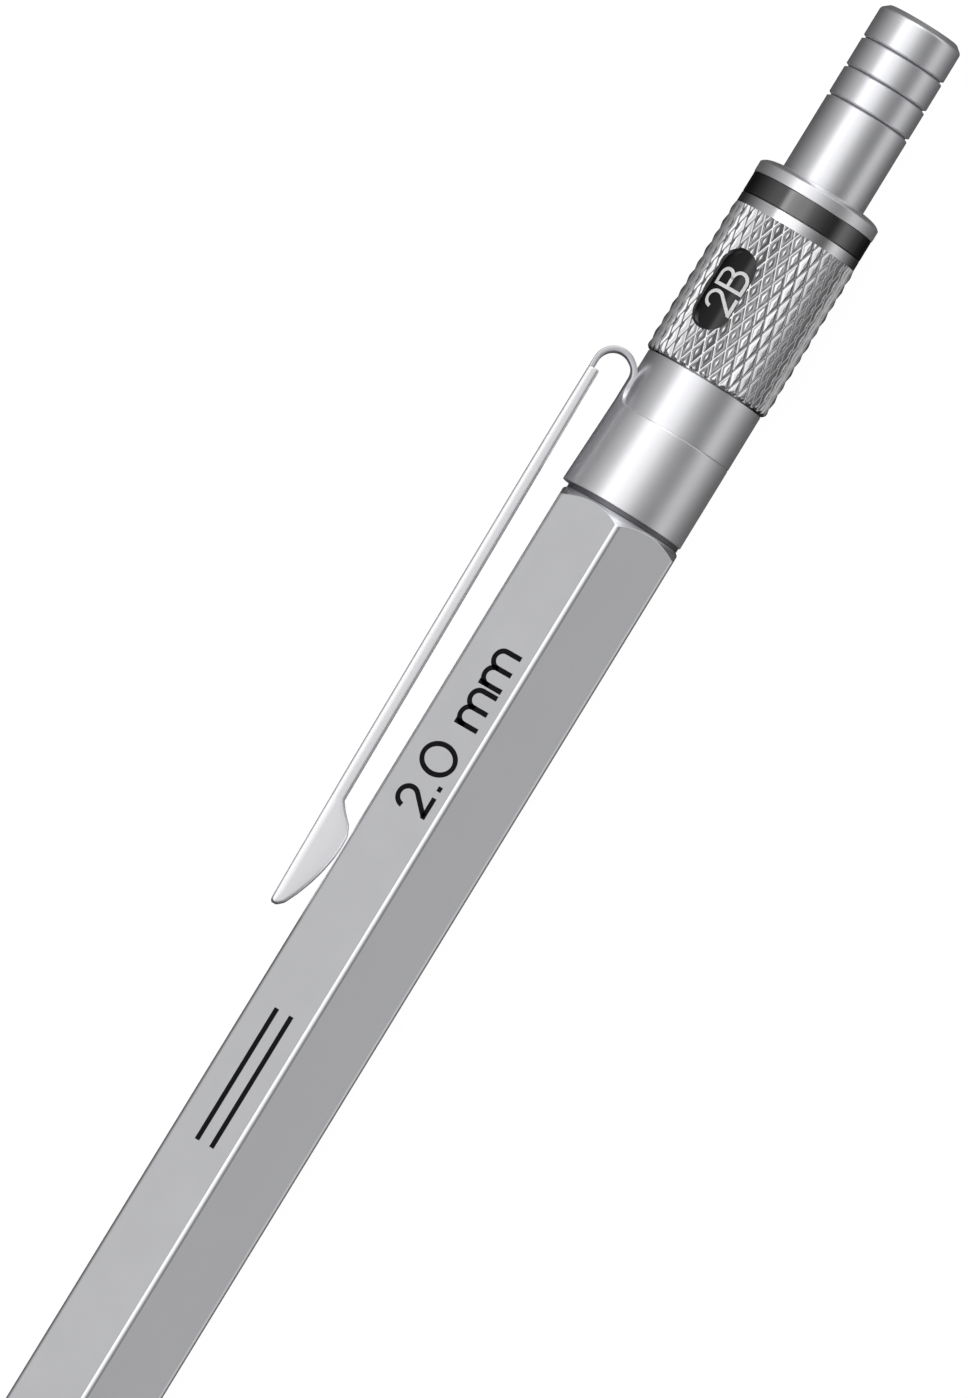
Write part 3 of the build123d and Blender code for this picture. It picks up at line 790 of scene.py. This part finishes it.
# ------------------------------------------------------------------ return spring
def spring():
    u0, u1, mean, wire = 24.62, 35.70, 2.25, 0.18
    turns_end, turns_mid = 1.0, 5.0
    steps = 40
    total = turns_end * 2 + turns_mid
    close = 2 * wire + 0.03
    mid_pitch = (u1 - u0 - 2 * wire - 2 * close * turns_end) / turns_mid
    path = []
    n = int(total * steps)
    u = u0 + wire
    for i in range(n + 1):
        turn_ = i / steps
        path.append((u, 2 * math.pi * turn_))
        pitch = close if (turn_ < turns_end or turn_ >= total - turns_end) else mid_pitch
        u += pitch / steps
    ring = 14
    verts, faces = [], []
    for i, (u, a) in enumerate(path):
        du = (path[min(i + 1, n)][0] - path[max(i - 1, 0)][0]) / ((path[min(i + 1, n)][1] - path[max(i - 1, 0)][1]) * mean)
        tilt = math.atan(du)
        for j in range(ring):
            b = 2 * math.pi * j / ring
            radial, ax = wire * math.cos(b), wire * math.sin(b)
            r = mean + radial
            # the wire's section stands square to the coil
            shift_a = -ax * math.sin(tilt) / mean
            verts.append(place(u + ax * math.cos(tilt), r * math.cos(a + shift_a), r * math.sin(a + shift_a)))
    for i in range(n):
        for j in range(ring):
            t = (j + 1) % ring
            faces.append((i * ring + j, i * ring + t, (i + 1) * ring + t, (i + 1) * ring + j))
    faces.append(tuple(range(ring))[::-1])
    faces.append(tuple(n * ring + j for j in range(ring)))
    return make_object("coil_return_spring", verts, faces, M_wire)


coil = finish_piece(spring(), "barrel", "return_spring")
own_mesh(coil)

# ------------------------------------------------------------------ plain stroke lettering: lead grades on the drum, the lead size on a flat

def arc_pts(cx, cy, rx, ry, a0, a1, n=20):
    return [(cx + rx * math.cos(math.radians(a0 + (a1 - a0) * k / n)), cy + ry * math.sin(math.radians(a0 + (a1 - a0) * k / n)))
            for k in range(n + 1)]


GLYPHS = {   # width, strokes, in units of the capital height
    "2": (0.58, [arc_pts(0.29, 0.71, 0.27, 0.29, 175, -38) + [(0.02, 0.0)], [(-0.04, 0.0), (0.58, 0.0)]]),
    "3": (0.56, [arc_pts(0.27, 0.76, 0.23, 0.24, 160, -90), arc_pts(0.27, 0.26, 0.27, 0.26, 90, -160)]),
    "4": (0.62, [[(0.48, 0.0), (0.48, 1.0), (0.0, 0.28), (0.62, 0.28)]]),
    "5": (0.56, [[(0.52, 1.0), (0.12, 1.0), (0.06, 0.55)] + arc_pts(0.26, 0.32, 0.28, 0.32, 130, -150)]),
    "0": (0.80, [arc_pts(0.40, 0.5, 0.40, 0.5, 90, 450, 48)]),
    "B": (0.62, [[(0.0, -0.05), (0.0, 1.05)], [(0.0, 1.0)] + arc_pts(0.32, 0.765, 0.235, 0.235, 90, -90) + [(0.0, 0.53)],
                 [(0.3, 0.53)] + arc_pts(0.34, 0.265, 0.28, 0.265, 90, -90) + [(0.0, 0.0)]]),
    "H": (0.66, [[(0.0, -0.05), (0.0, 1.05)], [(0.66, -0.05), (0.66, 1.05)], [(0.0, 0.5), (0.66, 0.5)]]),
    "F": (0.50, [[(0.0, -0.05), (0.0, 1.0), (0.52, 1.0)], [(0.0, 0.52), (0.44, 0.52)]]),
    ".": (0.12, [[(0.06, -0.06), (0.06, 0.07)]]),
    " ": (0.30, []),
    "m": (0.98, [[(0.0, -0.05), (0.0, 0.70)], [(0.0, 0.38)] + arc_pts(0.245, 0.42, 0.245, 0.25, 180, 0) + [(0.49, -0.05)],
                 [(0.49, 0.38)] + arc_pts(0.735, 0.42, 0.245, 0.25, 180, 0) + [(0.98, -0.05)]]),
}


def text_strokes(text, height, gap):
    """The text's strokes in mm from its left end, and its length."""
    x, out = 0.0, []
    for ch in text:
        width, strokes = GLYPHS[ch]
        for s in strokes:
            out.append([(x + px * height, py * height) for px, py in s])
        x += (width + gap) * height
    return out, x - gap * height


def stroke_print(name, strokes, width, mapper, thick, material, lift=0.0):
    """Printed strokes of even width as thin raised ink. mapper(x, y, h) gives the row-frame point h mm above the surface."""
    verts, faces = [], []
    for line in strokes:
        p = np.array(line, float)
        keep = np.concatenate([[True], np.linalg.norm(np.diff(p, axis=0), axis=1) > 1e-6])
        p = p[keep]
        closed = np.linalg.norm(p[0] - p[-1]) < 1e-6
        if closed:
            p = p[:-1]
        # long straight stretches get extra points so that they follow a curved surface
        q = []
        for i in range(len(p) - (0 if closed else 1)):
            a, b = p[i], p[(i + 1) % len(p)]
            k = max(1, int(np.linalg.norm(b - a) / 0.12))
            q += [a + (b - a) * j / k for j in range(k)]
        if not closed:
            q.append(p[-1])
        p = np.array(q)
        n = len(p)
        left, right = [], []
        for i in range(n):
            a = p[i - 1] if (i > 0 or closed) else None
            b = p[(i + 1) % n] if (i < n - 1 or closed) else None
            d0 = (p[i] - a) / np.linalg.norm(p[i] - a) if a is not None else None
            d1 = (b - p[i]) / np.linalg.norm(b - p[i]) if b is not None else None
            if d0 is None:
                d0 = d1
            if d1 is None:
                d1 = d0
            n0, n1 = np.array([-d0[1], d0[0]]), np.array([-d1[1], d1[0]])
            m = n0 + n1
            m = m / max(1e-6, np.linalg.norm(m))
            scale = 1 / max(0.42, float(m @ n0))
            left.append(p[i] + m * width / 2 * scale)
            right.append(p[i] - m * width / 2 * scale)
        base = len(verts)
        for i in range(n):
            for pt in (left[i], right[i]):
                verts.append(mapper(pt[0], pt[1], lift + thick))
            for pt in (left[i], right[i]):
                verts.append(mapper(pt[0], pt[1], lift))
        last = n if closed else n - 1
        for i in range(last):
            a, b = base + 4 * i, base + 4 * ((i + 1) % n)
            faces += [(a, a + 1, b + 1, b), (a + 2, b + 2, b + 3, a + 3), (a, b, b + 2, a + 2), (a + 1, a + 3, b + 3, b + 1)]
        if not closed:
            a = base; faces.append((a, a + 2, a + 3, a + 1))
            a = base + 4 * (n - 1); faces.append((a, a + 1, a + 3, a + 2))
    ob = make_object(name, verts, faces, material, smooth=False)
    bm = bmesh.new(); bm.from_mesh(ob.data)
    bmesh.ops.recalc_face_normals(bm, faces=bm.faces)
    bm.to_mesh(ob.data); bm.free()
    return ob


def on_drum(u0, deg):
    """x runs along +u from u0; y runs round the drum towards the clip's side from the direction deg."""
    def f(x, y, h):
        r = 3.67 + h
        a = math.radians(deg) - y / 3.67
        return place(u0 + x, r * math.cos(a), r * math.sin(a))
    return f


marks = []
GRADE_H = 1.92
for k, text in enumerate(("2B", "3B", "4B", "2H", "H", "F", "HB", "B")):
    strokes, length = text_strokes(text, GRADE_H, 0.20)
    strokes = [[(x, y - GRADE_H / 2) for x, y in s] for s in strokes]
    mark = stroke_print("grade_mark_" + text, strokes, 0.22, on_drum(126.02 - length / 2, 90 + 45 * k), 0.008, M_white)
    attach(mark, "barrel")
    marks.append(mark)


def on_flat(u0, v0):
    """x runs along +u from u0 and y across the top flat towards the clip's side."""
    def f(x, y, h):
        return place(u0 + x, v0 + y, HEX_AF / 2 + h)
    return f


SIZE_H = 2.34
strokes, length = text_strokes("2.0 mm", SIZE_H, 0.20)
size_mark = stroke_print("lead_size_mark", strokes, 0.33, on_flat(100.6 - length, -1.34), 0.008, M_ink)
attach(size_mark, "barrel")
bars = [[(0, 0), (9.2, 0)], [(0, 1.15), (9.2, 1.15)]]
bar_mark = stroke_print("plain_bars", bars, 0.34, on_flat(66.0, -0.78), 0.008, M_ink)
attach(bar_mark, "barrel")

# ------------------------------------------------------------------ floor, light and camera
scene = bpy.context.scene
floor_me = bpy.data.meshes.new("studio_floor")
S = 3.0
floor_me.from_pydata([(-S, -S, 0), (S, -S, 0), (S, S, 0), (-S, S, 0)], [], [(0, 1, 2, 3)])
floor = bpy.data.objects.new("studio_floor", floor_me)
scene.collection.objects.link(floor)
floor.location.z = -0.00002
fm = bpy.data.materials.new("studio_floor")
fm.use_nodes = True
nt = fm.node_tree
out = nt.nodes["Material Output"]
nt.nodes.remove(nt.nodes["Principled BSDF"])
em = nt.nodes.new("ShaderNodeEmission")
em.inputs["Color"].default_value = (1, 1, 1, 1)
em.inputs["Strength"].default_value = 0.975
df = nt.nodes.new("ShaderNodeBsdfDiffuse")
df.inputs["Color"].default_value = (0.06, 0.06, 0.06, 1)
add = nt.nodes.new("ShaderNodeAddShader")
nt.links.new(em.outputs[0], add.inputs[0]); nt.links.new(df.outputs[0], add.inputs[1])
nt.links.new(add.outputs[0], out.inputs["Surface"])
floor_me.materials.append(fm)
floor.visible_glossy = False

# The light is a soft tent round the pencil's axis: its brightness depends on the direction round X.
TENT = [(-37, .02), (-20, .02), (-3, .05), (17, .14), (33, .26), (48, .40), (56, .45), (66, .50), (71, .82), (74, 1.55), (79, 1.8),
        (86, 1.36), (94, 1.2), (102, 1.08), (110, 1.05), (116, .92), (120, .76), (126, .54), (131, .44), (143, .27), (154, .16),
        (166, .11), (172, .15), (178, .31), (182, .41), (188, .62), (195, .66), (203, .53), (210, .41), (222, .21), (243, .06),
        (262, .02)]


world = bpy.data.worlds.new("soft_tent")
scene.world = world
world.use_nodes = True
wt = world.node_tree
bg = wt.nodes["Background"]
tc = wt.nodes.new("ShaderNodeTexCoord")
sep = wt.nodes.new("ShaderNodeSeparateXYZ")
wt.links.new(tc.outputs["Generated"], sep.inputs[0])
ang = math_node(wt, "ARCTAN2", sep.outputs["Z"], sep.outputs["Y"])
deg = math_node(wt, "MULTIPLY", ang, 180 / math.pi)
turned_deg = math_node(wt, "MODULO", math_node(wt, "ADD", deg, 360 + 60), 360)          # 0 stands for -60 degrees
frac = math_node(wt, "DIVIDE", turned_deg, 360)
stops = sorted(((a + 60) % 360 / 360, v) for a, v in TENT)
r1 = ramp(wt, frac, [(p, (v / 4, v / 4, v / 4)) for p, v in stops], "LINEAR")
mul = wt.nodes.new("ShaderNodeVectorMath"); mul.operation = "SCALE"
wt.links.new(r1, mul.inputs[0]); # brighter towards the push cap's end, darker towards the point's
mul_end = map_range(wt, sep.outputs["X"], 0.45, 0.85, 1.0, 1.7)
mul_tip = map_range(wt, sep.outputs["X"], -0.85, -0.45, 0.35, 1.0)
wt.links.new(math_node(wt, "MULTIPLY", math_node(wt, "MULTIPLY", mul_end, mul_tip), 4.0), mul.inputs["Scale"])
wt.links.new(mul.outputs[0], bg.inputs["Color"])
bg.inputs["Strength"].default_value = 1.0

scene.view_settings.view_transform = "Standard"

PHI, THETA = math.radians(2.6), math.radians(58.536)
X = Vector((1, 0, 0)); T = Vector((0, -math.cos(math.radians(30)), -0.5)); N = Vector((0, -0.5, math.cos(math.radians(30))))
A = X * math.cos(PHI) + N * math.sin(PHI)
B = N * math.cos(PHI) - X * math.sin(PHI)
R = A * math.cos(THETA) + T * math.sin(THETA)
U = A * math.sin(THETA) - T * math.cos(THETA)
CENTRE_U, CENTRE_T, VIEW_H = 97.635, -1.419, 83.90
centre = Vector(place(CENTRE_U, 0, 0)) + T * CENTRE_T / 1000
cam_data = bpy.data.cameras.new("camera")
cam_data.lens, cam_data.sensor_width = 800, 36
dist = VIEW_H / 1000 * 800 / 36
cam = bpy.data.objects.new("camera", cam_data)
cam.matrix_world = Matrix((
    (R.x, U.x, B.x, centre.x + B.x * dist), (R.y, U.y, B.y, centre.y + B.y * dist), (R.z, U.z, B.z, centre.z + B.z * dist),
    (0, 0, 0, 1)))
cam_data.clip_start, cam_data.clip_end = 0.05, 20
scene.collection.objects.link(cam)
scene.camera = cam
